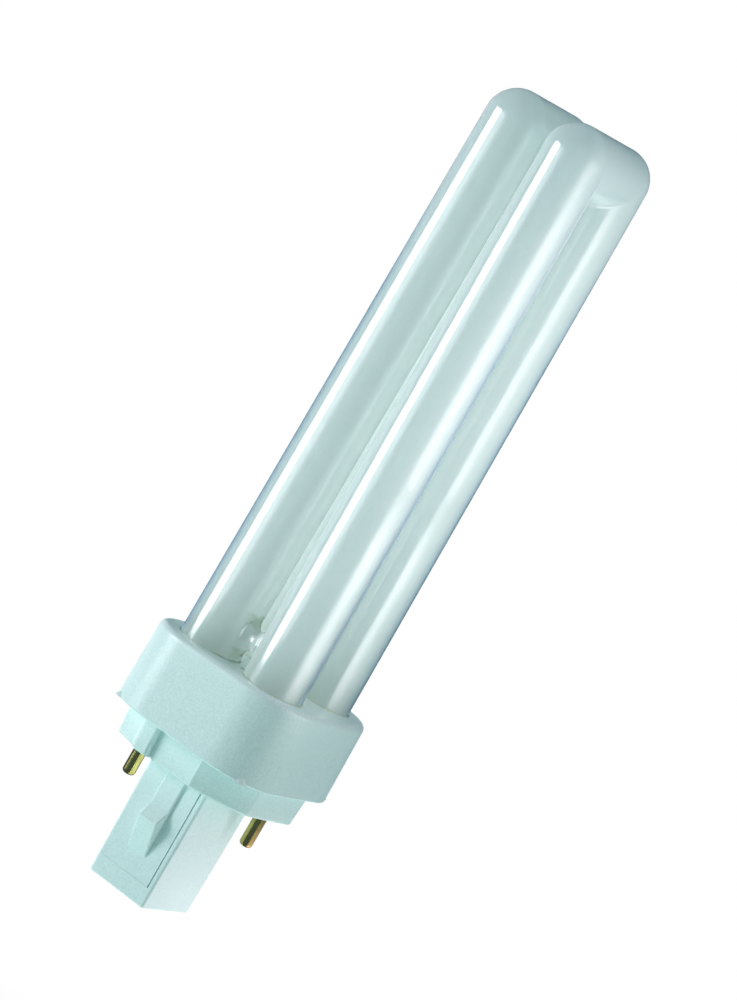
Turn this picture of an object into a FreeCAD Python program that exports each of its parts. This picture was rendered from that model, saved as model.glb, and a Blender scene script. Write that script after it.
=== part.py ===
import FreeCAD, Part
import math
import os

from FreeCAD import Placement, Rotation, Vector

# A double-U compact fluorescent lamp on a two-pin plug cap. Millimetres, +Z up the lamp's axis.
# The origin is the centre of the plug's end. Each U lies in a plane across Y, one at -X and one at +X.

# Heights along the axis, from the plug's end up
plug_length = 23.0
step_height = 6.3
collar_height = 15.1
tube_reach = 108.6

# Glass
tube_dia = 11.5
leg_gap = 5.0
u_gap = 3.2
u_gap_top = 1.4
leg_insert = 9.4
leg_end_round = 2.5
bridge_dia = 3.9
bridge_height = 4.9
bridge_fillet = 0.7
seal_width = 8.0
seal_thickness = 2.6
seal_height = 2.0
seal_overlap = 0.5
seal_lead_pitch = 4.0

# Collar
collar_margin = 3.4
collar_corner = 10.0
collar_taper = 0.3
collar_wall = 1.5
collar_roof = 2.0
collar_edge_round = 1.1
collar_lip_round = 0.3
tube_hole_clearance = 0.3
cement_depth = 4.8
cement_clearance = 0.1
lug_radius = 1.5
lug_height = 2.6
lug_proud = 0.6

# Plug
plug_width = 12.86
plug_depth = 15.3
plug_draft = 0.6
plug_corner = 0.5
plug_end_round = 0.35
plug_wall = 1.3
plug_floor = 1.5
latch_width = 4.3
latch_nose_width = 3.9
latch_edge_round = 0.2
latch_rib = 0.55
latch_peak = 2.2
latch_shoulder_drop = 6.8
latch_peak_drop = 9.25
latch_toe_drop = 15.8
panel_edge = 0.95
panel_foot = 3.5
panel_gap = 0.25
panel_gap_depth = 0.4
panel_foot_gap = 0.12
panel_foot_depth = 0.12

# Step between the plug and the collar, set in from the collar's side faces
key_inset = 4.1
key_width = 3.1
key_run_out = 1.2
key_depth = 1.6
step_recess_depth = 1.3
step_recess_width = 9.7
step_seam = 0.25
step_corner_inset = 2.9
step_corner_y = 9.6
step_side_inset = 4.0
step_side_y = 4.8
step_round_inset = 4.2
step_corner_round = 2.0
key_wall_round = 0.6
key_round = 1.2
key_foot_round = 0.8
step_flare = 0.4
step_edge = 0.3
step_floor = 2.0
flange_thickness = 1.5
flange_clearance = 0.2
rim_height = 1.6
rim_wall = 1.2

# Contact pins
pin_circle = 24.0
pin_angle = 20.5
pin_dia = 2.4
pin_shank_dia = 2.8
pin_length = 6.4
pin_tip_round = 0.7
pin_head_dia = 3.8
pin_head = 0.6
pin_clearance = 0.02
pin_wall = 1.4

# Starter, its capacitor and the leads, inside the plug
starter_dia = 6.4
starter_body = 12.0
starter_shoulder = 1.6
starter_pinch_width = 4.0
starter_pinch_thickness = 1.8
starter_pinch = 3.0
starter_pitch = 2.6
starter_stub = 2.0
capacitor_width = 7.2
capacitor_thickness = 2.8
capacitor_height = 8.0
capacitor_edge = 0.8
inner_clearance = 0.4
wire_dia = 0.5
wire_clearance = 0.05
pin_lead_bend = 0.4
starter_lead_bend = 1.5
starter_lead_drop = 5.0
capacitor_lead_bend = 0.8

# Derived places
seat_z = plug_length
collar_z = seat_z + step_height
collar_top = collar_z + collar_height
tube_top = collar_top + tube_reach
roof_z = collar_top - collar_roof
flange_top = collar_z + flange_thickness
tube_r = tube_dia / 2
bend_z = tube_top - tube_r
leg_pitch = tube_dia + leg_gap
u_pitch = tube_dia + u_gap
u_lean = math.degrees(math.atan((u_gap - u_gap_top) / 2 / tube_reach))
leg_foot = collar_top - leg_insert
seal_foot = leg_foot - seal_height
collar_half = (leg_pitch + tube_dia) / 2 + collar_margin
pin_x = pin_circle / 2 * math.cos(math.radians(pin_angle))
pin_y = pin_circle / 2 * math.sin(math.radians(pin_angle))
pin_r = pin_dia / 2
shank_r = pin_shank_dia / 2
wire_r = wire_dia / 2
plug_slope = math.tan(math.radians(plug_draft))
cavity_half_x = plug_width / 2 - plug_wall
cavity_half_y = plug_depth / 2 - plug_wall
starter_y = inner_clearance + starter_dia / 2 - cavity_half_y
capacitor_y = cavity_half_y - inner_clearance - capacitor_thickness / 2
starter_pinch_z = plug_floor + starter_body
starter_top = starter_pinch_z + starter_pinch

upward = Vector(0, 0, 1)
half_turn = Placement(Vector(), Rotation(upward, 180))


# Closed rectangle with round corners, level at height z
def rounded_rect(half_x, half_y, corner, z):
    inset = corner * (1 - math.sqrt(0.5))
    edges = []
    last = None
    first = None
    for sx, sy in ((1, -1), (1, 1), (-1, 1), (-1, -1)):
        on_side = Vector(sx * half_x, sy * (half_y - corner), z)
        on_end = Vector(sx * (half_x - corner), sy * half_y, z)
        middle = Vector(sx * (half_x - inset), sy * (half_y - inset), z)
        start, end = (on_end, on_side) if sx * sy < 0 else (on_side, on_end)
        if last is not None:
            edges.append(Part.makeLine(last, start))
        else:
            first = start
        edges.append(Part.Arc(start, middle, end).toShape())
        last = end
    edges.append(Part.makeLine(last, first))
    return Part.Wire(edges)


# Straight-sided solid between two level outlines of the same kind
def tapered(lower, upper):
    return Part.makeLoft([lower, upper], True, True)


def level_prism(wire, height):
    return Part.Face(wire).extrude(upward * height)


def edges_at(shape, z):
    found = []
    for edge in shape.Edges:
        box = edge.BoundBox
        if abs(box.ZMin - z) < 1e-4 and abs(box.ZMax - z) < 1e-4:
            found.append(edge)
    return found


# Leg with a domed top, rounded foot and its axis on Z
def domed_leg():
    lean_in = leg_end_round * (1 - math.sqrt(0.5))
    foot_mid = Vector(tube_r - lean_in, 0, leg_foot + lean_in)
    dome_mid = Vector(tube_r * math.sqrt(0.5), 0, bend_z + tube_r * math.sqrt(0.5))
    flat_end = Vector(tube_r - leg_end_round, 0, leg_foot)
    side_foot = Vector(tube_r, 0, leg_foot + leg_end_round)
    side_top = Vector(tube_r, 0, bend_z)
    crown = Vector(0, 0, tube_top)
    centre = Vector(0, 0, leg_foot)
    profile = Part.Wire([
        Part.makeLine(centre, flat_end),
        Part.Arc(flat_end, foot_mid, side_foot).toShape(),
        Part.makeLine(side_foot, side_top),
        Part.Arc(side_top, dome_mid, crown).toShape(),
        Part.makeLine(crown, centre)])
    return Part.Face(profile).revolve(Vector(), upward, 360)


# One U, with square bends: two domed legs and a level crosspiece that meets them in a mitre
def u_body():
    body = Part.makeCylinder(tube_r, leg_pitch, Vector(0, -leg_pitch / 2, bend_z), Vector(0, 1, 0))
    for side in (-1, 1):
        leg = domed_leg()
        leg.translate(Vector(0, side * leg_pitch / 2, 0))
        body = body.fuse(leg)
    return body.removeSplitter()


# Moves a U from its own plane to its side of the lamp, leaning in towards the other U
def stand_u(shape, side):
    stood = shape.copy()
    stood.rotate(Vector(0, 0, collar_top), Vector(0, 1, 0), -side * u_lean)
    stood.translate(Vector(side * u_pitch / 2, 0, 0))
    return stood


# Flat pinch that closes the electrode leg of a U
def pinch_seal():
    seal = Part.makeBox(seal_width, seal_thickness, seal_height + seal_overlap)
    seal.translate(Vector(-seal_width / 2, leg_pitch / 2 - seal_thickness / 2, seal_foot))
    return seal


# Small cross tube near the collar, between the front legs
def bridge():
    start = Vector(-u_pitch / 2, -leg_pitch / 2, collar_top + bridge_height)
    return Part.makeCylinder(bridge_dia / 2, u_pitch, start, Vector(1, 0, 0))


# Both Us and their bridge, a sealed vessel that stays solid inside
def discharge_tube():
    one_u = u_body().fuse(pinch_seal())
    glass = stand_u(one_u, -1).fuse([stand_u(one_u, 1), bridge()])
    neck = collar_top + bridge_height
    joints = []
    for edge in glass.Edges:
        box = edge.BoundBox
        near = box.ZMin > neck - bridge_dia and box.ZMax < neck + bridge_dia
        if near and box.ZLength > bridge_dia / 2 and box.XLength < bridge_dia and box.YLength > bridge_dia / 2:
            joints.append(edge)
    return glass.makeFillet(bridge_fillet, joints)


# Centres of the four legs where they pass the collar's roof
def leg_places():
    places = []
    for sx in (-1, 1):
        for sy in (-1, 1):
            places.append(Vector(sx * u_pitch / 2, sy * leg_pitch / 2, 0))
    return places


# Cone on the corner of the lower edge, over one of the snaps that hold the base
def snap_lug(quarter):
    reach = (collar_half - collar_corner) * math.sqrt(2) + collar_corner
    lug = Part.makeCone(lug_radius, 0, lug_height)
    lug.translate(Vector(reach + lug_proud - lug_radius, 0, collar_z))
    lug.rotate(Vector(), upward, 45 + 90 * quarter)
    return lug


def collar():
    top_half = collar_half - collar_taper
    outside = tapered(
        rounded_rect(collar_half, collar_half, collar_corner, collar_z),
        rounded_rect(top_half, top_half, collar_corner - collar_taper, collar_top))
    outside = outside.makeFillet(collar_edge_round, edges_at(outside, collar_top))
    outside = outside.makeFillet(collar_lip_round, edges_at(outside, collar_z))
    outside = outside.fuse([snap_lug(quarter) for quarter in range(4)])
    corner = collar_corner - collar_wall
    lower = collar_half - collar_wall
    upper = top_half - collar_wall
    hollow = tapered(
        rounded_rect(lower, lower, corner, collar_z),
        rounded_rect(upper, upper, corner - collar_taper, roof_z))
    holes = []
    for place in leg_places():
        hole = Part.makeCylinder(tube_r + tube_hole_clearance, collar_height, place + upward * collar_z)
        holes.append(hole)
    return outside.cut([hollow] + holes)


# Block of cement cast round the legs against the underside of the roof
def tube_cement(glass):
    half = collar_half - collar_taper - collar_wall - cement_clearance
    corner = collar_corner - collar_taper - collar_wall - cement_clearance
    block = level_prism(rounded_rect(half, half, corner, roof_z - cement_depth), cement_depth)
    return block.cut(glass)


# Outline of the step: a keying rib beside each pin, and between the ribs a recess on the two faces across Y.
# It is the same after half a turn, so one half is drawn and the other is its turned copy.
def step_outline(grow, z):
    scale = 1 + grow / collar_half

    def point(x, y):
        return Vector(x * scale, y * scale, z)

    recess_x = step_recess_width / 2
    key_y = collar_half - key_inset
    floor_y = key_y - step_recess_depth
    key_x = recess_x + key_width
    round_xy = (collar_half - step_round_inset) * math.sqrt(0.5)
    wall_foot = point(-recess_x, -floor_y)
    wall_top = point(-recess_x, -key_y)
    key_end = point(-key_x, -key_y)
    key_foot = point(-key_x - key_run_out, key_depth - key_y)
    corner = point(step_corner_inset - collar_half, -step_corner_y)
    side = point(step_side_inset - collar_half, step_side_y)
    seam_top = point(-recess_x, floor_y + step_seam)
    seam_foot = point(-recess_x, floor_y)
    half = rounded_path(
        [wall_foot, wall_top, key_end, key_foot, corner, side],
        [key_wall_round, key_round, key_foot_round, step_corner_round])
    half += [
        Part.Arc(side, point(-round_xy, round_xy), seam_top).toShape(),
        Part.makeLine(seam_top, seam_foot),
        Part.makeLine(seam_foot, point(recess_x, floor_y))]
    return Part.Wire(half + [edge.transformed(half_turn.toMatrix()) for edge in half])


# Straight runs through the points, with a tangent arc of its own radius at each corner
def rounded_path(points, radii):
    edges = []
    last = points[0]
    for corner, after, radius in zip(points[1:-1], points[2:], radii):
        back = (last - corner).normalize()
        ahead = (after - corner).normalize()
        half_angle = back.getAngle(ahead) / 2
        run = radius / math.tan(half_angle)
        centre_way = (back + ahead).normalize()
        arc_mid = corner + centre_way * (radius / math.sin(half_angle) - radius)
        arc_start = corner + back * run
        arc_end = corner + ahead * run
        edges.append(Part.makeLine(last, arc_start))
        edges.append(Part.Arc(arc_start, arc_mid, arc_end).toShape())
        last = arc_end
    edges.append(Part.makeLine(last, points[-1]))
    return edges


def plug_half(size, z):
    return size / 2 + plug_slope * z


# Rectangle that follows the plug's draft, set in by a wall
def plug_section(wall, z):
    corner = max(plug_corner - wall, plug_corner / 2)
    return rounded_rect(plug_half(plug_width, z) - wall, plug_half(plug_depth, z) - wall, corner, z)


# Long outer edges of the latch, on both its sides
def latch_rim(nose, root_y):
    rim = []
    for edge in nose.Edges:
        box = edge.BoundBox
        if box.YMax < root_y - plug_wall / 4 and box.XLength < latch_nose_width / 2:
            rim.append(edge)
    return rim


# Spring latch on the -Y face: a flat rib, then a nose that rises to a peak and ramps back to the face.
# Its sides draw in towards the peak.
def latch():
    def face_y(z, proud):
        return Vector(-latch_width / 2, -plug_half(plug_depth, z) - proud, z)

    root = Vector(-latch_width / 2, plug_wall / 2 - plug_depth / 2, seat_z)
    shoulder_z = seat_z - latch_shoulder_drop
    peak_z = seat_z - latch_peak_drop
    toe_z = seat_z - latch_toe_drop
    toe_root = Vector(root.x, root.y, toe_z)
    outline = Part.makePolygon([
        root,
        face_y(seat_z, latch_rib),
        face_y(shoulder_z, latch_rib),
        face_y(peak_z, latch_peak),
        face_y(toe_z, 0),
        toe_root,
        root])
    nose = Part.Face(outline).extrude(Vector(latch_width, 0, 0))
    peak_y = face_y(peak_z, latch_peak).y
    section = []
    for half_x, y in ((latch_width / 2, root.y), (latch_nose_width / 2, peak_y)):
        section += [Vector(-half_x, y, toe_z), Vector(half_x, y, toe_z)]
    left_root, right_root, left_peak, right_peak = section
    sides = Part.makePolygon([left_root, right_root, right_peak, left_peak, left_root])
    nose = nose.common(level_prism(sides, latch_toe_drop))
    return nose.makeFillet(latch_edge_round, latch_rim(nose, root.y))


# Parting gap on the -Y face: one upright line near the front edge and a fine one along the foot
def panel_lines():
    right = plug_width / 2 - panel_edge
    reach = plug_half(plug_depth, seat_z)
    upright_depth = reach - plug_depth / 2 + panel_gap_depth
    upright = Part.makeBox(panel_gap, upright_depth, seat_z - panel_foot)
    upright.translate(Vector(right - panel_gap, -reach, panel_foot))
    foot_depth = reach - plug_half(plug_depth, panel_foot) + panel_foot_depth
    foot = Part.makeBox(right + plug_width / 2 + panel_edge, foot_depth, panel_foot_gap)
    foot.translate(Vector(-plug_width / 2 - panel_edge, -reach, panel_foot))
    return upright.fuse(foot)


# Flange that closes the collar from below, and the rim that centres it
def flange():
    half = collar_half - collar_wall - flange_clearance
    corner = collar_corner - collar_wall - flange_clearance
    plate = level_prism(rounded_rect(half, half, corner, collar_z), flange_thickness + rim_height)
    well_half = half - rim_wall
    well = level_prism(rounded_rect(well_half, well_half, corner - rim_wall, flange_top), rim_height)
    return plate.cut(well)


# Moulded base: plug, step and flange in one piece, hollow from above
def plug_base():
    plug = tapered(plug_section(0, 0), plug_section(0, seat_z))
    plug = plug.makeFillet(plug_end_round, edges_at(plug, 0))
    step = Part.makeLoft([
        step_outline(-step_edge, seat_z),
        step_outline(0, seat_z + step_edge),
        step_outline(step_flare, collar_z)], True, True)
    body = plug.cut([panel_lines(), panel_lines().transformed(half_turn.toMatrix())])
    body = body.fuse([latch(), latch().transformed(half_turn.toMatrix()), step, flange()])
    well_floor = seat_z + step_floor
    well_x = pin_x - shank_r - pin_wall
    well_y = collar_half - key_inset - step_recess_depth - plug_wall
    well = level_prism(rounded_rect(well_x, well_y, plug_wall, well_floor), flange_top - well_floor)
    cavity = tapered(plug_section(plug_wall, plug_floor), plug_section(plug_wall, well_floor))
    bores = []
    for side in (-1, 1):
        foot = Vector(side * pin_x, side * pin_y, seat_z)
        bores.append(Part.makeCylinder(shank_r + pin_clearance, flange_top - seat_z, foot))
    return body.cut([cavity, well] + bores)


# Turned brass pin with a rounded tip, a thicker shank in the step and a head on top of the flange
def contact_pin(side):
    tip = seat_z - pin_length
    inset = pin_tip_round * (1 - math.sqrt(0.5))
    head_r = pin_head_dia / 2
    tip_flat = Vector(pin_r - pin_tip_round, 0, tip)
    tip_mid = Vector(pin_r - inset, 0, tip + inset)
    tip_side = Vector(pin_r, 0, tip + pin_tip_round)
    head_top = flange_top + pin_head
    contact = Part.Wire([
        Part.makeLine(Vector(0, 0, tip), tip_flat),
        Part.Arc(tip_flat, tip_mid, tip_side).toShape(),
        Part.makePolygon([
            tip_side,
            Vector(pin_r, 0, seat_z),
            Vector(shank_r, 0, seat_z),
            Vector(shank_r, 0, flange_top),
            Vector(head_r, 0, flange_top),
            Vector(head_r, 0, head_top),
            Vector(0, 0, head_top),
            Vector(0, 0, tip)])])
    pin = Part.Face(contact).revolve(Vector(), upward, 360)
    pin.translate(Vector(side * pin_x, side * pin_y, 0))
    return pin


# Glow starter: a small glass bulb on the plug's floor, pinched at the top round two stub wires
def glow_starter():
    bulb = Part.makeCylinder(starter_dia / 2, starter_body)
    bulb = bulb.makeChamfer(starter_shoulder, edges_at(bulb, 0) + edges_at(bulb, starter_body))
    bulb.translate(Vector(0, starter_y, plug_floor))
    pinch = Part.makeBox(starter_pinch_width, starter_pinch_thickness, starter_pinch + starter_shoulder)
    pinch_y = starter_y - starter_pinch_thickness / 2
    pinch.translate(Vector(-starter_pinch_width / 2, pinch_y, starter_pinch_z - starter_shoulder))
    stubs = []
    for side in (-1, 1):
        foot = Vector(side * starter_pitch / 2, starter_y, starter_top - wire_dia)
        stubs.append(Part.makeCylinder(wire_r, starter_stub + wire_dia, foot))
    return bulb.fuse([pinch] + stubs).removeSplitter()


# Capacitor across the starter, its two legs bent over to the starter's stubs
def suppression_capacitor():
    body = Part.makeBox(capacitor_width, capacitor_thickness, capacitor_height)
    body = body.makeChamfer(capacitor_edge, [edge for edge in body.Edges if not edges_at(edge, 0)])
    body.translate(Vector(-capacitor_width / 2, capacitor_y - capacitor_thickness / 2, plug_floor))
    over_z = starter_top + starter_stub / 2
    legs = []
    for side in (-1, 1):
        x = side * starter_pitch / 2
        foot = Vector(x, capacitor_y, plug_floor + capacitor_height - wire_dia)
        over = Vector(x, capacitor_y, over_z)
        end = Vector(x, starter_y + wire_r, over_z)
        legs.append(bent_wire([foot, over, end], capacitor_lead_bend))
    return body.fuse(legs).removeSplitter()


# Round wire that leaves its first point along Z
def bent_wire(points, bend):
    section = Part.Face(Part.Wire([Part.makeCircle(wire_r, points[0], upward)]))
    bends = [bend] * (len(points) - 2)
    return Part.Wire(rounded_path(points, bends)).makePipe(section)


# Wire that drops from a seal to a level, crosses over at that level and drops to its end
def lead(start, level, end, bend):
    return bent_wire([start, Vector(start.x, start.y, level), Vector(end.x, end.y, level), end], bend)


# Foot of a seal where a lead comes out, on the outer or inner side of its leg
def seal_outlet(side, outward):
    x = side * (u_pitch + outward * seal_lead_pitch) / 2
    return Vector(x, leg_pitch / 2, seal_foot - wire_clearance)


# Lead from an electrode to the head of its pin
def pin_lead(side):
    start = seal_outlet(side, 1)
    end = Vector(side * pin_x, side * pin_y, flange_top + pin_head)
    return lead(start, (start.z + end.z) / 2, end, pin_lead_bend)


# Lead from an electrode down to a stub of the starter
def starter_lead(side):
    start = seal_outlet(side, -1)
    end = Vector(side * starter_pitch / 2, starter_y, starter_top + starter_stub)
    return lead(start, start.z - starter_lead_drop, end, starter_lead_bend)


def main():
    glass = discharge_tube()
    nodes = {
        "discharge_tube": glass,
        "collar": collar(),
        "tube_cement": tube_cement(glass),
        "plug_base": plug_base(),
        "glow_starter": glow_starter(),
        "suppression_capacitor": suppression_capacitor()}
    for side, name in ((-1, "left"), (1, "right")):
        nodes["contact_pin_" + name] = contact_pin(side)
        nodes["pin_lead_" + name] = pin_lead(side)
        nodes["starter_lead_" + name] = starter_lead(side)
    os.makedirs("parts", exist_ok=True)
    for name, shape in nodes.items():
        shape.exportStep("parts/" + name + ".step")
        solids = len(shape.Solids)
        print(name, "solids", solids, "valid", shape.isValid(), "volume", round(shape.Volume, 1))


main()
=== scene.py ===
import math

import bpy
from mathutils import Matrix, Vector


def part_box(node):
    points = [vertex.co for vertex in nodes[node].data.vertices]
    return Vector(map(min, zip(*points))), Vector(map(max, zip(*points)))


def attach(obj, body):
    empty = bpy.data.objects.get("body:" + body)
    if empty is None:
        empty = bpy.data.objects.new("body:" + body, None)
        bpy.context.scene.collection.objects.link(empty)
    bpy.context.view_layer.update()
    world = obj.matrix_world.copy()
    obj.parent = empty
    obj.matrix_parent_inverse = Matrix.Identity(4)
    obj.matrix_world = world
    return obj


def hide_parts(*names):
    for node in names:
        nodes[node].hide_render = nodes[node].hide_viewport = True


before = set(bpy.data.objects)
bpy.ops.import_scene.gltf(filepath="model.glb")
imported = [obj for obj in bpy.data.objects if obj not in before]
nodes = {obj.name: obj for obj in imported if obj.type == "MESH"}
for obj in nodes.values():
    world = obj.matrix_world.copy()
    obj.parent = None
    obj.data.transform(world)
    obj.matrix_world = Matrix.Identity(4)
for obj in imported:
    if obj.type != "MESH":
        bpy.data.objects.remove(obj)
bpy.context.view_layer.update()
print("frame:", len(nodes), "nodes")

mm = 0.001


class Value:
    # an output socket that can be used in a sum: each operator adds a Math node
    def __init__(self, graph, socket):
        self.graph = graph
        self.socket = socket

    def __add__(self, other):
        return self.graph.calc("ADD", self, other)

    def __sub__(self, other):
        return self.graph.calc("SUBTRACT", self, other)

    def __rsub__(self, other):
        return self.graph.calc("SUBTRACT", other, self)

    def __mul__(self, other):
        return self.graph.calc("MULTIPLY", self, other)

    def __truediv__(self, other):
        return self.graph.calc("DIVIDE", self, other)

    def __pow__(self, other):
        return self.graph.calc("POWER", self, other)

    __radd__ = __add__
    __rmul__ = __mul__


class Graph:
    # one node tree, of a material, the world or a shape
    def __init__(self, tree):
        self.tree = tree

    # settings come first, then the values or links of the sockets
    def add(self, kind, settings=None, sockets=None, out=0):
        node = self.tree.nodes.new(kind)
        for name, value in (settings or {}).items():
            setattr(node, name, value)
        for name, value in (sockets or {}).items():
            if isinstance(value, Value):
                self.tree.links.new(value.socket, node.inputs[name])
            else:
                node.inputs[name].default_value = value
        return Value(self, node.outputs[out]) if node.outputs else None

    def calc(self, operation, *terms):
        return self.add("ShaderNodeMath", {"operation": operation}, dict(enumerate(terms)))

    def clamp(self, value):
        return self.add("ShaderNodeClamp", None, {0: value})

    # a Mix node's sockets for colours have numbers only
    def mix(self, factor, first, second):
        return self.add("ShaderNodeMix", {"data_type": "RGBA"}, {0: factor, 6: first, 7: second}, 2)

    def split(self, place):
        parts = self.add("ShaderNodeSeparateXYZ", None, {0: place})
        return [Value(self, socket) for socket in parts.socket.node.outputs]

    def noise(self, place, scale, detail=3, roughness=0.5):
        sockets = {"Vector": place, "Scale": scale, "Detail": detail, "Roughness": roughness}
        return self.add("ShaderNodeTexNoise", None, sockets)

    def bump(self, height, distance, strength=1.0):
        sockets = {"Height": height, "Distance": distance, "Strength": strength}
        return self.add("ShaderNodeBump", None, sockets)


def rgba(red, green, blue):
    return (red, green, blue, 1)


def newMaterial(name):
    material = bpy.data.materials.new(name)
    material.use_nodes = True
    material.node_tree.nodes.clear()
    graph = Graph(material.node_tree)
    place = graph.add("ShaderNodeTexCoord", None, None, "Object")
    return material, graph, place


def surface(graph, sockets):
    shader = graph.add("ShaderNodeBsdfPrincipled", None, sockets)
    graph.add("ShaderNodeOutputMaterial", None, {"Surface": shader})


# satin moulded plastic: spark-eroded grain, faint flow marks and one dark speck by the bridge
plasticSpec = {
    "pale": rgba(0.82, 0.93, 0.925),
    "deep": rgba(0.68, 0.825, 0.82),
    "grain": 2800,
    "grainDepth": 0.02 * mm,
    "grainShare": 2.2,
    "flow": 90,
    "flowShare": 0.6,
    "markLevel": 0.9,
    "roughness": 0.32,
    "grainRoughness": 0.12,
    "flowRoughness": 0.06,
    "index": 1.5,
    "speck": rgba(0.02, 0.03, 0.02),
    "speckAt": (0.83 * mm, -9.0 * mm, 44.4 * mm),
    "speckRadius": 0.45 * mm,
    "speckSharp": 3,
}


def makePlastic():
    spec = plasticSpec
    material, graph, place = newMaterial("capPlastic")
    grain = graph.noise(place, spec["grain"], 2, 0.6)
    flow = graph.noise(place, spec["flow"], 4, 0.55)
    marks = graph.clamp(grain * spec["grainShare"] + flow * spec["flowShare"] - spec["markLevel"])
    colour = graph.mix(marks, spec["pale"], spec["deep"])
    away = sum((part - at) ** 2 for part, at in zip(graph.split(place), spec["speckAt"])) ** 0.5
    speck = graph.clamp((1 - away / spec["speckRadius"]) * spec["speckSharp"])
    uneven = (grain - 0.5) * spec["grainRoughness"] + (flow - 0.5) * spec["flowRoughness"]
    surface(graph, {
        "Base Color": graph.mix(speck, colour, spec["speck"]),
        "Roughness": spec["roughness"] + uneven,
        "Normal": graph.bump(grain, spec["grainDepth"]),
        "IOR": spec["index"]})
    return material


# tube wall with a milky coat inside: it is glossy, and part of the light goes through the hollow tube;
# the index is high to make up for that share; the outer sides get a painted dark blue reflection where
# they are seen edge on, and the sides that face in between the legs get painted shade
glassSpec = {
    "milk": rgba(0.905, 0.95, 0.945),
    "thin": rgba(0.80, 0.87, 0.86),
    "foot": rgba(0.70, 0.85, 0.76),
    "bareShade": rgba(0.20, 0.38, 0.15),
    "edge": rgba(0.27, 0.41, 0.52),
    "inner": rgba(0.66, 0.66, 0.54),
    "cloud": 420,
    "cloudShare": 0.8,
    "speck": 3000,
    "speckShare": 1.4,
    "coatLevel": 0.65,
    "footHeight": 44.4 * mm,
    "footReach": 14 * mm,
    "footShare": 0.8,
    "bareShadeHeight": 49.3 * mm,
    "bareShadeFrom": 1.9 * mm,
    "bareShadeTo": 4.4 * mm,
    "bareShadeHalf": 2.6 * mm,
    "bareShadeSoft": 0.5 * mm,
    "bareShadeSide": 1.1 * mm,
    "bareShadeFront": -2 * mm,
    "bareShadeUneven": 2 * mm,
    "edgeFrom": 0.3,
    "edgeWidth": 0.5,
    "edgeTop": 152 * mm,
    "edgeFade": 40 * mm,
    "sideGain": 1.5,
    "sideLevel": 0.15,
    "sideSharp": 2,
    "innerGain": 4,
    "innerLevel": 3,
    "innerLoss": 0.5,
    "through": 0.5,
    "throughPower": 4,
    "roughness": 0.06,
    "cloudRoughness": 0.03,
    "index": 2.6,
}


# the coat's colour: thin in places, greenish at the feet, and above and below the bridge a band of bare glass
# painted dark olive as the shade of the gaps beside it
def coatAndGapShade(graph, x, y, z, cloud, speck):
    spec = glassSpec
    gaps = graph.clamp(cloud * spec["cloudShare"] + speck * spec["speckShare"] - spec["coatLevel"])
    coat = graph.mix(gaps, spec["milk"], spec["thin"])
    low = graph.clamp(1 - (z - spec["footHeight"]) / spec["footReach"])
    coat = graph.mix(low * low * spec["footShare"], coat, spec["foot"])
    # painted shade: a dark olive band of bare glass above and below the bridge, where the gaps beside it lie
    # in shade
    offBridge = graph.calc("ABSOLUTE", z - spec["bareShadeHeight"]) + (cloud - 0.5) * spec["bareShadeUneven"]
    begin = graph.clamp((offBridge - spec["bareShadeFrom"]) / spec["bareShadeSoft"])
    end = graph.clamp((spec["bareShadeTo"] - offBridge) / spec["bareShadeSoft"])
    middle = graph.clamp((spec["bareShadeHalf"] - graph.calc("ABSOLUTE", x)) / spec["bareShadeSide"])
    front = graph.clamp(y / spec["bareShadeFront"])
    return graph.mix(begin * end * middle * front, coat, spec["bareShade"])


def makeTubeGlass():
    spec = glassSpec
    material, graph, place = newMaterial("tubeGlass")
    cloud = graph.noise(place, spec["cloud"], 4, 0.65)
    speck = graph.noise(place, spec["speck"], 2)
    x, y, z = graph.split(place)
    # the coat's colour, with the painted gap shade by the bridge
    coat = coatAndGapShade(graph, x, y, z, cloud, speck)
    facing = graph.add("ShaderNodeLayerWeight", None, {"Blend": 0.5}, "Facing")
    normal = graph.add("ShaderNodeNewGeometry", None, None, "Normal")
    normalX, normalY = graph.split(normal)[:2]
    outward = (normalX * x + normalY * y) / (x * x + y * y) ** 0.5
    offAxis = graph.clamp(outward * spec["sideGain"] - spec["sideLevel"])
    outerSide = offAxis * graph.clamp(normalX * graph.calc("SIGN", x) * spec["sideSharp"])
    # painted dark blue reflection on the outer sides where they are seen edge on, fading out towards the top
    edgeOn = graph.clamp((facing - spec["edgeFrom"]) / spec["edgeWidth"])
    edge = edgeOn * outerSide * graph.clamp((spec["edgeTop"] - z) / spec["edgeFade"])
    # painted shade: the sides that face in between the legs are darker and olive, and let less light through
    inwardShade = graph.clamp(outward * -spec["innerGain"] - spec["innerLevel"])
    wall = graph.add("ShaderNodeBsdfPrincipled", None, {
        "Base Color": graph.mix(edge, graph.mix(inwardShade, coat, spec["inner"]), spec["edge"]),
        "Roughness": spec["roughness"] + cloud * spec["cloudRoughness"],
        "IOR": spec["index"]})
    glow = graph.add("ShaderNodeBsdfTranslucent", None, {"Color": spec["milk"]})
    clear = (1 - facing ** spec["throughPower"]) * (1 - edge) * (1 - inwardShade * spec["innerLoss"])
    both = graph.add("ShaderNodeMixShader", None, {0: clear * spec["through"], 1: wall, 2: glow})
    graph.add("ShaderNodeOutputMaterial", None, {"Surface": both})
    return material


# turned brass, bright on the sides
brassSpec = {
    "bright": rgba(0.64, 0.50, 0.17),
    "dull": rgba(0.42, 0.31, 0.09),
    "lines": 2600,
    "lineStretch": (0.05, 0.05, 1),
    "lineDepth": 0.004 * mm,
    "lineStrength": 0.5,
    "stain": 700,
    "stainGain": 2,
    "stainLevel": 0.7,
    "roughness": 0.14,
    "stainRoughness": 0.1,
}


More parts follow.
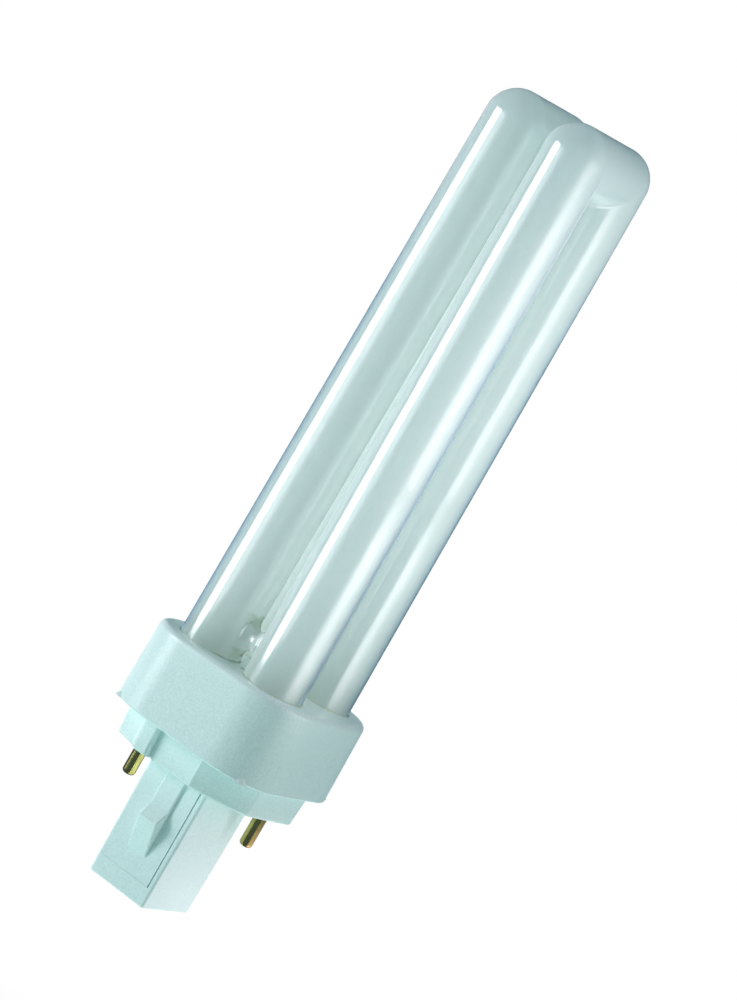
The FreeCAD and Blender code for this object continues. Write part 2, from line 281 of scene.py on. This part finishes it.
def makeBrass():
    spec = brassSpec
    material, graph, place = newMaterial("pinBrass")
    squash = graph.add("ShaderNodeMapping", None, {"Vector": place, "Scale": spec["lineStretch"]})
    lines = graph.noise(squash, spec["lines"], 2)
    stain = graph.noise(place, spec["stain"], 4, 0.6)
    dull = graph.clamp(stain * spec["stainGain"] - spec["stainLevel"])
    surface(graph, {
        "Base Color": graph.mix(dull, spec["bright"], spec["dull"]),
        "Roughness": spec["roughness"] + stain * spec["stainRoughness"],
        "Normal": graph.bump(lines, spec["lineDepth"], spec["lineStrength"]),
        "Metallic": 1.0})
    return material


# finishes with one kind of mark: it mixes the two colours, roughens and, with a depth, lifts the surface
markedSpecs = {
    "tubeCement": {
        "first": rgba(0.56, 0.66, 0.42), "second": rgba(0.76, 0.84, 0.70),
        "scale": 1500, "detail": 5, "coarse": 0.6,
        "roughness": 0.55, "markRoughness": 0.25, "depth": 0.06 * mm},
    "starterGlass": {
        "first": rgba(0.80, 0.88, 0.88), "second": rgba(0.62, 0.70, 0.72),
        "scale": 600, "detail": 3, "coarse": 0.5,
        "roughness": 0.05, "markRoughness": 0.1},
    "capacitorResin": {
        "first": rgba(0.48, 0.22, 0.05), "second": rgba(0.62, 0.32, 0.09),
        "scale": 500, "detail": 4, "coarse": 0.5,
        "roughness": 0.3, "markRoughness": 0.2, "depth": 0.05 * mm},
    "leadWire": {
        "first": rgba(0.62, 0.62, 0.60), "second": rgba(0.74, 0.73, 0.70),
        "scale": 3000, "detail": 2, "coarse": 0.5,
        "roughness": 0.25, "markRoughness": 0.15, "metallic": 1.0},
}


def makeMarked(name, spec):
    material, graph, place = newMaterial(name)
    marks = graph.noise(place, spec["scale"], spec["detail"], spec["coarse"])
    sockets = {
        "Base Color": graph.mix(marks, spec["first"], spec["second"]),
        "Roughness": spec["roughness"] + marks * spec["markRoughness"],
        "Metallic": spec.get("metallic", 0.0)}
    if "depth" in spec:
        sockets["Normal"] = graph.bump(marks, spec["depth"])
    surface(graph, sockets)
    return material


materials = {"capPlastic": makePlastic(), "tubeGlass": makeTubeGlass(), "pinBrass": makeBrass()}
for finishName, markedSpec in markedSpecs.items():
    materials[finishName] = makeMarked(finishName, markedSpec)
print("materials:", len(materials))

nodeFinish = {
    "collar": "capPlastic",
    "plug_base": "capPlastic",
    "contact_pin_left": "pinBrass",
    "contact_pin_right": "pinBrass",
    "tube_cement": "tubeCement",
    "glow_starter": "starterGlass",
    "suppression_capacitor": "capacitorResin",
    "pin_lead_left": "leadWire",
    "pin_lead_right": "leadWire",
    "starter_lead_left": "leadWire",
    "starter_lead_right": "leadWire",
}

for nodeName, finish in nodeFinish.items():
    for materialSlot in nodes[nodeName].material_slots:
        materialSlot.material = materials[finish]
print("solids finished:", len(nodeFinish))


# a shape's tree with named inputs
def shapeTree(name, inputs):
    tree = bpy.data.node_groups.new(name, "GeometryNodeTree")
    for inputName in inputs:
        tree.interface.new_socket(inputName, in_out="INPUT", socket_type="NodeSocketFloat")
    tree.interface.new_socket("Geometry", in_out="OUTPUT", socket_type="NodeSocketGeometry")
    graph = Graph(tree)
    entry = tree.nodes.new("NodeGroupInput")
    sizes = {inputName: Value(graph, entry.outputs[inputName]) for inputName in inputs}
    return tree, graph, sizes


def uniteShapes(graph, shapes):
    union = graph.tree.nodes.new("GeometryNodeMeshBoolean")
    union.operation = "UNION"
    union.solver = "EXACT"
    for shape in shapes:
        graph.tree.links.new(shape.socket, union.inputs["Mesh 2"])
    return Value(graph, union.outputs[0])


# the end of every shape's tree
def closeTree(graph, shape, material):
    smooth = graph.add("GeometryNodeSetShadeSmooth", None, {"Geometry": shape, "Shade Smooth": True})
    whole = graph.add("GeometryNodeRealizeInstances", None, {"Geometry": smooth})
    coated = graph.add("GeometryNodeSetMaterial", None, {"Geometry": whole, "Material": material})
    outlet = graph.tree.nodes.new("NodeGroupOutput")
    graph.tree.links.new(coated.socket, outlet.inputs[0])


# runs a tree on an empty mesh and keeps the result as a plain mesh
def growPiece(name, tree, sizes):
    piece = bpy.data.objects.new(name, bpy.data.meshes.new(name))
    bpy.context.scene.collection.objects.link(piece)
    modifier = piece.modifiers.new("shape", "NODES")
    modifier.node_group = tree
    for item in tree.interface.items_tree:
        if item.in_out == "INPUT":
            modifier[item.identifier] = sizes[item.name]
    ready = piece.evaluated_get(bpy.context.evaluated_depsgraph_get())
    made = bpy.data.meshes.new_from_object(ready)
    piece.modifiers.clear()
    piece.data = made
    return piece


def placePiece(piece, slot, *replaced):
    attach(piece, "root")
    if replaced:
        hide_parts(*replaced)
    print("piece:", piece.name, len(piece.data.polygons), "faces")


# both bent tubes and their bridge, each swept as rings along its own path
tubeSpec = {
    "tubeDia": 11.5 * mm,
    "legGap": 5.0 * mm,
    "uGap": 3.2 * mm,
    "uGapTop": 1.4 * mm,
    "legInsert": 9.4 * mm,
    "footDome": 2.5 * mm,
    "creaseRound": 0.9 * mm,
    "bridgeDia": 3.9 * mm,
    "bridgeHeight": 4.9 * mm,
    "bridgeFlare": 1.6 * mm,
    "bridgeSink": 1.3 * mm,
    "flareDepth": 0.4,
    "tipSharp": 20,
    "around": 96,
    "footRings": 8,
    "legRings": 14,
    "bendRings": 20,
    "crossRings": 8,
    "bridgeRings": 41,
    "bridgeAround": 48,
    "weld": 0.002 * mm,
}

tubeInputs = [
    "Tube radius", "Leg offset", "U offset", "Lean", "Collar top", "Foot", "Foot dome", "Bend",
    "Crease", "Bridge radius", "Bridge height", "Bridge gap", "Bridge reach", "Bridge flare"]


# grid whose points are moved by a rule: along is 0 to 1 down its length, turn is the angle around it
def ringGrid(graph, rings, around):
    sockets = {"Size X": 1, "Size Y": 1, "Vertices X": rings, "Vertices Y": around + 1}
    grid = graph.add("GeometryNodeMeshGrid", None, sockets)
    marks = Value(graph, grid.socket.node.outputs["UV Map"])
    along, turn = graph.split(marks)[:2]
    return grid, along, turn * (2 * math.pi)


def placeRings(graph, grid, x, y, z):
    place = graph.add("ShaderNodeCombineXYZ", None, {0: x, 1: y, 2: z})
    moved = graph.add("GeometryNodeSetPosition", None, {"Geometry": grid, "Position": place})
    closed = graph.add("GeometryNodeMergeByDistance", None, {"Geometry": moved, "Distance": tubeSpec["weld"]})
    return graph.add("GeometryNodeFlipFaces", None, {0: closed})


# one tube in its own plane, z from the collar's top: foot dome, leg, square bend and half the crosspiece
def bentTube(graph, sizes):
    spec = tubeSpec
    half = spec["footRings"] + spec["legRings"] + spec["bendRings"] + spec["crossRings"]
    grid, along, turn = ringGrid(graph, 2 * half + 1, spec["around"])
    rise = (1 - graph.calc("ABSOLUTE", along * 2 - 1)) * half
    side = graph.calc("GREATER_THAN", along, 0.5) * 2 - 1
    footTurn = graph.clamp(rise / spec["footRings"]) * (math.pi / 2)
    rise = rise - spec["footRings"]
    legRun = graph.clamp(rise / spec["legRings"])
    rise = rise - spec["legRings"]
    bendTurn = graph.clamp(rise / spec["bendRings"]) * (math.pi / 2)
    crossRun = graph.clamp((rise - spec["bendRings"]) / spec["crossRings"])
    ring = sizes["Tube radius"] * graph.calc("SINE", footTurn)
    outward = ring * graph.calc("COSINE", turn)
    outer = graph.calc("MAXIMUM", outward, 0)
    inner = graph.calc("MAXIMUM", 0 - outward, 0)
    crease = sizes["Crease"] * inner / sizes["Tube radius"]
    bendCos = graph.calc("COSINE", bendTurn)
    bendSin = graph.calc("SINE", bendTurn)
    spread = (1 - crossRun) * (sizes["Leg offset"] + outer * bendCos - inner - crease * (1 - bendCos))
    footZ = sizes["Foot"] + sizes["Foot dome"] * (1 - graph.calc("COSINE", footTurn))
    bendZ = sizes["Bend"] + outer * bendSin - inner - crease * (1 - bendSin)
    return placeRings(
        graph, grid, ring * graph.calc("SINE", turn), side * spread, footZ + legRun * (bendZ - footZ))


# short neck that joins the front legs, flared where it runs into their walls
def bridgeNeck(graph, sizes):
    spec = tubeSpec
    grid, along, turn = ringGrid(graph, spec["bridgeRings"], spec["bridgeAround"])
    reach = along * 2 - 1
    x = reach * sizes["Bridge reach"]
    near = (graph.calc("ABSOLUTE", x) - sizes["Bridge gap"]) / sizes["Bridge flare"] + 1
    flare = sizes["Bridge flare"] * graph.clamp(near) ** 2
    tipRun = graph.clamp((1 - graph.calc("ABSOLUTE", reach)) * spec["tipSharp"])
    tip = graph.calc("SINE", tipRun * (math.pi / 2))
    deep = (sizes["Bridge radius"] + flare * spec["flareDepth"]) * tip
    y = deep * graph.calc("COSINE", turn) - sizes["Leg offset"]
    rise = (sizes["Bridge radius"] + flare) * tip * graph.calc("SINE", turn)
    z = rise + sizes["Bridge height"] + sizes["Collar top"]
    return placeRings(graph, grid, x, y, z)


def standTube(graph, tube, sizes, side):
    shift = graph.add("ShaderNodeCombineXYZ", None, {0: sizes["U offset"] * side, 2: sizes["Collar top"]})
    turn = graph.add("ShaderNodeCombineXYZ", None, {1: sizes["Lean"] * -side})
    sockets = {"Geometry": tube, "Translation": shift, "Rotation": turn}
    return graph.add("GeometryNodeTransform", None, sockets)


def makeTubes():
    spec = tubeSpec
    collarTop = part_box("collar")[1].z
    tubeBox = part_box("discharge_tube")
    reach = tubeBox[1].z - collarTop
    tree, graph, sizes = shapeTree("bentTubes", tubeInputs)
    tube = bentTube(graph, sizes)
    stood = [standTube(graph, tube, sizes, side) for side in (-1, 1)]
    closeTree(graph, uniteShapes(graph, stood + [bridgeNeck(graph, sizes)]), materials["tubeGlass"])
    lean = math.atan((spec["uGap"] - spec["uGapTop"]) / 2 / reach)
    return growPiece("bent_tubes", tree, {
        "Tube radius": spec["tubeDia"] / 2,
        "Leg offset": (spec["tubeDia"] + spec["legGap"]) / 2,
        "U offset": (spec["tubeDia"] + spec["uGap"]) / 2,
        "Lean": lean,
        "Collar top": collarTop,
        "Foot": -spec["legInsert"],
        "Foot dome": spec["footDome"],
        "Bend": reach - spec["tubeDia"] / 2,
        "Crease": spec["creaseRound"],
        "Bridge radius": spec["bridgeDia"] / 2,
        "Bridge height": spec["bridgeHeight"],
        "Bridge gap": spec["uGap"] / 2,
        "Bridge reach": spec["uGap"] / 2 + spec["bridgeSink"],
        "Bridge flare": spec["bridgeFlare"]})


placePiece(makeTubes(), "phosphor_glass", "discharge_tube")


# cement that has crept up round the feet of the legs, uneven from leg to leg
beadSpec = {
    "bead": 0.42 * mm,
    "least": 0.04 * mm,
    "lumps": 1.7,
    "lumpGain": 4,
    "lumpLevel": 2,
    "turnStep": 1.9,
    "around": 80,
    "section": 12,
    "flatness": 0.8,
}

beadInputs = ["Leg radius", "Leg spread", "U spread", "Height", "Bead", "Least"]


def makeBeads():
    spec = beadSpec
    tree, graph, sizes = shapeTree("footBeads", beadInputs)
    grid, along, turn = ringGrid(graph, spec["section"] + 1, spec["around"])
    roll = along * (2 * math.pi)
    cosTurn = graph.calc("COSINE", turn)
    sinTurn = graph.calc("SINE", turn)
    around = graph.add("ShaderNodeCombineXYZ", None, {0: cosTurn, 1: sinTurn})
    lumps = graph.clamp(graph.noise(around, spec["lumps"], 3) * spec["lumpGain"] - spec["lumpLevel"])
    size = sizes["Least"] + sizes["Bead"] * lumps
    away = sizes["Leg radius"] + size * graph.calc("COSINE", roll)
    height = size * graph.calc("SINE", roll) * spec["flatness"]
    bead = placeRings(graph, grid, away * cosTurn, away * sinTurn, height)
    spots = graph.add("GeometryNodeMeshGrid", None, {
        "Size X": sizes["U spread"], "Size Y": sizes["Leg spread"], "Vertices X": 2, "Vertices Y": 2})
    lift = graph.add("ShaderNodeCombineXYZ", None, {2: sizes["Height"]})
    raised = graph.add("GeometryNodeTransform", None, {"Geometry": spots, "Translation": lift})
    step = graph.add("GeometryNodeInputIndex") * spec["turnStep"]
    twist = graph.add("ShaderNodeCombineXYZ", None, {2: step})
    sockets = {"Points": raised, "Instance": bead, "Rotation": twist}
    beads = graph.add("GeometryNodeInstanceOnPoints", None, sockets)
    closeTree(graph, beads, materials["tubeCement"])
    return growPiece("foot_beads", tree, {
        "Leg radius": tubeSpec["tubeDia"] / 2,
        "Leg spread": tubeSpec["tubeDia"] + tubeSpec["legGap"],
        "U spread": tubeSpec["tubeDia"] + tubeSpec["uGap"],
        "Height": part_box("collar")[1].z,
        "Bead": spec["bead"],
        "Least": spec["least"]})


placePiece(makeBeads(), "cement")


# small plain ejector mark low on the plug's front face
markSpec = {
    "x": -0.7 * mm,
    "z": 1.85 * mm,
    "face": -7.67 * mm,
    "radius": 0.42 * mm,
    "crest": 0.1 * mm,
    "dimple": 0.3,
    "rings": 17,
    "around": 32,
}

markInputs = ["X", "Z", "Face", "Radius", "Crest"]


def makeMark():
    spec = markSpec
    tree, graph, sizes = shapeTree("ejectorMark", markInputs)
    grid, along, turn = ringGrid(graph, spec["rings"], spec["around"])
    wide = graph.calc("SINE", along * math.pi)
    dimple = spec["dimple"] + wide * (1 - spec["dimple"])
    out = sizes["Radius"] * wide
    mark = placeRings(
        graph, grid, sizes["X"] - out * graph.calc("COSINE", turn),
        sizes["Face"] - sizes["Crest"] * graph.calc("COSINE", along * math.pi) * dimple,
        sizes["Z"] + out * graph.calc("SINE", turn))
    closeTree(graph, mark, materials["capPlastic"])
    return growPiece("ejector_mark", tree, {
        "X": spec["x"],
        "Z": spec["z"],
        "Face": spec["face"],
        "Radius": spec["radius"],
        "Crest": spec["crest"]})


placePiece(makeMark(), "cap_plastic")


# camera at the photo's place: round from the front towards +X, above the middle, rolled
cameraSpec = {
    "azimuth": 28.66,
    "distance": 0.63878,
    "height": 0.15486,
    "aim": 0.0791,
    "aimRight": 0.00056,
    "roll": 30.07,
    "lens": 135.66,
    "sensor": 36.0,
}


def viewAxes():
    turn = math.radians(cameraSpec["azimuth"])
    toCamera = Vector((math.sin(turn), -math.cos(turn), 0))
    right = Vector((math.cos(turn), math.sin(turn), 0))
    return toCamera, right


def makeCamera():
    spec = cameraSpec
    toCamera, right = viewAxes()
    data = bpy.data.cameras.new("camera")
    data.lens = spec["lens"]
    data.sensor_width = spec["sensor"]
    camera = bpy.data.objects.new("camera", data)
    bpy.context.scene.collection.objects.link(camera)
    place = toCamera * spec["distance"] + Vector((0, 0, spec["height"]))
    look = right * spec["aimRight"] + Vector((0, 0, spec["aim"])) - place
    turned = look.to_track_quat("-Z", "Y").to_matrix() @ Matrix.Rotation(math.radians(spec["roll"]), 3, "Z")
    camera.matrix_world = Matrix.Translation(place) @ turned.to_4x4()
    bpy.context.scene.camera = camera


makeCamera()


# places round the lamp, seen from the camera: angle to the right of it, metres away;
# a matt light makes no highlight, and all of them aim at one point
lightSpecs = {
    "keyLight": {
        "angle": -79, "away": 0.62, "height": 0.10, "size": (0.28, 0.316),
        "watts": 2.6, "tint": (0.97, 0.97, 1), "matt": False},
    "leftPanel": {
        "angle": -68, "away": 0.62, "height": 0.10, "size": (0.50, 0.40),
        "watts": 0.25, "tint": (0.3, 0.9, 1), "matt": False},
    "backLeft": {
        "angle": -150, "away": 0.62, "height": 0.10, "size": (0.3, 0.5),
        "watts": 3.7, "tint": (1, 0.98, 0.95), "matt": True},
    "backRight": {
        "angle": 160, "away": 0.62, "height": 0.10, "size": (0.3, 0.5),
        "watts": 1.5, "tint": (0.7, 1, 0.95), "matt": True},
    "rightPanel": {
        "angle": 58, "away": 0.62, "height": 0.10, "size": (0.3, 0.5),
        "watts": 0.75, "tint": (0.95, 0.96, 1), "matt": True},
    "below": {
        "angle": 0, "away": 0, "height": -0.2, "size": (1.0, 1.0),
        "watts": 1.7, "tint": (0.35, 1, 0.86), "matt": True},
    "above": {
        "angle": 0, "away": 0.05, "height": 0.8, "size": (1.4, 1.4),
        "watts": 1.2, "tint": (0.45, 0.95, 1), "matt": True},
    "crown": {
        "angle": 30, "away": 0.09, "height": 0.22, "size": (0.12, 0.12),
        "watts": 0.035, "tint": (0.75, 0.96, 1), "matt": True},
}

lightAim = Vector((0, 0, 0.08))


def placeRound(angle, away, height):
    toCamera, right = viewAxes()
    turn = math.radians(angle)
    return (toCamera * math.cos(turn) + right * math.sin(turn)) * away + Vector((0, 0, height))


def makeLight(name, spec):
    data = bpy.data.lights.new(name, "AREA")
    data.shape = "RECTANGLE"
    data.size, data.size_y = spec["size"]
    data.energy = spec["watts"]
    data.color = spec["tint"]
    light = bpy.data.objects.new(name, data)
    bpy.context.scene.collection.objects.link(light)
    place = placeRound(spec["angle"], spec["away"], spec["height"])
    turned = (lightAim - place).to_track_quat("-Z", "Y").to_matrix()
    light.matrix_world = Matrix.Translation(place) @ turned.to_4x4()
    light.visible_camera = False
    light.visible_glossy = not spec["matt"]


for lightName, lightSpec in lightSpecs.items():
    makeLight(lightName, lightSpec)


# lit scrims beside the lamp, in millimetres: across to the right, from and to towards the camera;
# each is brightest at mid and fades over soft, its ends fade over fade;
# a gloss one shows in highlights only
scrimSpecs = {
    "leftScrim": {
        "across": -88, "from": 20, "to": 150, "low": 33, "high": 160, "fade": 4, "mid": 54, "soft": 48,
        "tint": (2.4, 2.3, 2.25), "gloss": True},
    "rightScrim": {
        "across": 42, "from": -10, "to": 85, "low": 56, "high": 164, "fade": 30, "mid": 32, "soft": 20,
        "tint": (3.2, 3.0, 3.05), "gloss": False},
    "footScrim": {
        "across": 42, "from": -10, "to": 85, "low": 31, "high": 82, "fade": 14, "mid": 32, "soft": 22,
        "tint": (3.6, 3.5, 3.6), "gloss": True},
    "lowScrim": {
        "across": 38, "from": -34, "to": 30, "low": -45, "high": 18, "fade": 12, "mid": 0, "soft": 60,
        "tint": (1.35, 1.15, 1.2), "gloss": False},
}


def makeScrim(name, spec):
    toCamera, right = viewAxes()
    corners = []
    for height, end in (("low", "from"), ("low", "to"), ("high", "to"), ("high", "from")):
        corners.append((right * spec["across"] + toCamera * spec[end] + Vector((0, 0, spec[height]))) * mm)
    mesh = bpy.data.meshes.new(name)
    mesh.from_pydata(corners, [], [(0, 1, 2, 3)])
    scrim = bpy.data.objects.new(name, mesh)
    bpy.context.scene.collection.objects.link(scrim)
    material, graph, place = newMaterial(name)
    dot = graph.add("ShaderNodeVectorMath", {"operation": "DOT_PRODUCT"}, {0: place, 1: toCamera}, "Value")
    towards = dot / mm
    height = graph.split(place)[2] / mm
    fall = graph.calc("EXPONENT", 0 - ((towards - spec["mid"]) / spec["soft"]) ** 2)
    lowEnd = graph.clamp((height - spec["low"]) / spec["fade"])
    highEnd = graph.clamp((spec["high"] - height) / spec["fade"])
    lit = graph.mix(fall * lowEnd * highEnd, rgba(0, 0, 0), rgba(*spec["tint"]))
    glow = graph.add("ShaderNodeEmission", None, {"Color": lit, "Strength": 1})
    clear = graph.add("ShaderNodeBsdfTransparent")
    both = graph.add("ShaderNodeAddShader", None, {0: clear, 1: glow})
    graph.add("ShaderNodeOutputMaterial", None, {"Surface": both})
    mesh.materials.append(material)
    scrim.visible_camera = False
    scrim.visible_diffuse = not spec["gloss"]


for scrimName, scrimSpec in scrimSpecs.items():
    makeScrim(scrimName, scrimSpec)


# dim drum round the stage that only the gloss and the tube's inside see
drumSpec = {"away": 1.3, "low": -0.24, "high": 1.2, "tint": rgba(0.08, 0.14, 0.20), "sides": 48}


def makeDrum():
    spec = drumSpec
    sides = spec["sides"]
    corners = []
    faces = []
    for side in range(sides):
        corners += [placeRound(360 * side / sides, spec["away"], spec[end]) for end in ("low", "high")]
        after = (side + 1) % sides
        faces.append((2 * side, 2 * after, 2 * after + 1, 2 * side + 1))
    faces += [tuple(range(0, 2 * sides, 2)), tuple(range(1, 2 * sides, 2))]
    mesh = bpy.data.meshes.new("dimDrum")
    mesh.from_pydata(corners, [], faces)
    drum = bpy.data.objects.new("dimDrum", mesh)
    bpy.context.scene.collection.objects.link(drum)
    material, graph = newMaterial("dimDrum")[:2]
    glow = graph.add("ShaderNodeEmission", None, {"Color": spec["tint"], "Strength": 1})
    graph.add("ShaderNodeOutputMaterial", None, {"Surface": glow})
    mesh.materials.append(material)
    drum.visible_camera = False
    drum.visible_diffuse = False
    drum.visible_shadow = False


makeDrum()


# white to the camera and the gloss, a soft teal fill to the rest
worldSpec = {"fill": rgba(0.56, 0.80, 0.74), "fillStrength": 0.02, "white": rgba(1, 1, 1)}


def whenSeen(graph):
    path = graph.tree.nodes.new("ShaderNodeLightPath")
    seen = Value(graph, path.outputs["Is Camera Ray"])
    for ray in ("Is Glossy Ray", "Is Transmission Ray"):
        seen = graph.calc("MAXIMUM", seen, Value(graph, path.outputs[ray]))
    return seen


def makeWorld():
    spec = worldSpec
    world = bpy.data.worlds.new("studio")
    world.use_nodes = True
    world.node_tree.nodes.clear()
    graph = Graph(world.node_tree)
    fill = graph.add("ShaderNodeBackground", None, {"Color": spec["fill"], "Strength": spec["fillStrength"]})
    white = graph.add("ShaderNodeBackground", None, {"Color": spec["white"], "Strength": 1})
    both = graph.add("ShaderNodeMixShader", None, {0: whenSeen(graph), 1: fill, 2: white})
    graph.add("ShaderNodeOutputWorld", None, {"Surface": both})
    bpy.context.scene.world = world


makeWorld()


# pale floor: it keeps the shadow under the lamp and runs out to white between near and far
floorSpec = {
    "height": -0.25,
    "size": 6.0,
    "near": 0.3,
    "far": 0.8,
    "shade": 0.3,
    "pale": rgba(0.9, 0.9, 0.9),
    "white": rgba(1, 1, 1),
}


def makeFloor():
    spec = floorSpec
    half = spec["size"] / 2
    mesh = bpy.data.meshes.new("floor")
    corners = [(x * half, y * half, spec["height"]) for x, y in ((-1, -1), (1, -1), (1, 1), (-1, 1))]
    mesh.from_pydata(corners, [], [(0, 1, 2, 3)])
    floor = bpy.data.objects.new("floor", mesh)
    bpy.context.scene.collection.objects.link(floor)
    material, graph, place = newMaterial("paleFloor")
    flat = graph.add("ShaderNodeVectorMath", {"operation": "MULTIPLY"}, {0: place, 1: (1, 1, 0)})
    away = graph.add("ShaderNodeVectorMath", {"operation": "LENGTH"}, {0: flat}, "Value")
    keep = graph.clamp((spec["far"] - away) / (spec["far"] - spec["near"])) * spec["shade"]
    matt = graph.add("ShaderNodeBsdfDiffuse", None, {"Color": spec["pale"]})
    white = graph.add("ShaderNodeEmission", None, {"Color": spec["white"], "Strength": 1})
    both = graph.add("ShaderNodeMixShader", None, {0: whenSeen(graph) * (1 - keep), 1: matt, 2: white})
    graph.add("ShaderNodeOutputMaterial", None, {"Surface": both})
    mesh.materials.append(material)


makeFloor()
print("stage: camera, lights, scrims, drum, world and floor")

bpy.context.scene.view_settings.view_transform = "Standard"
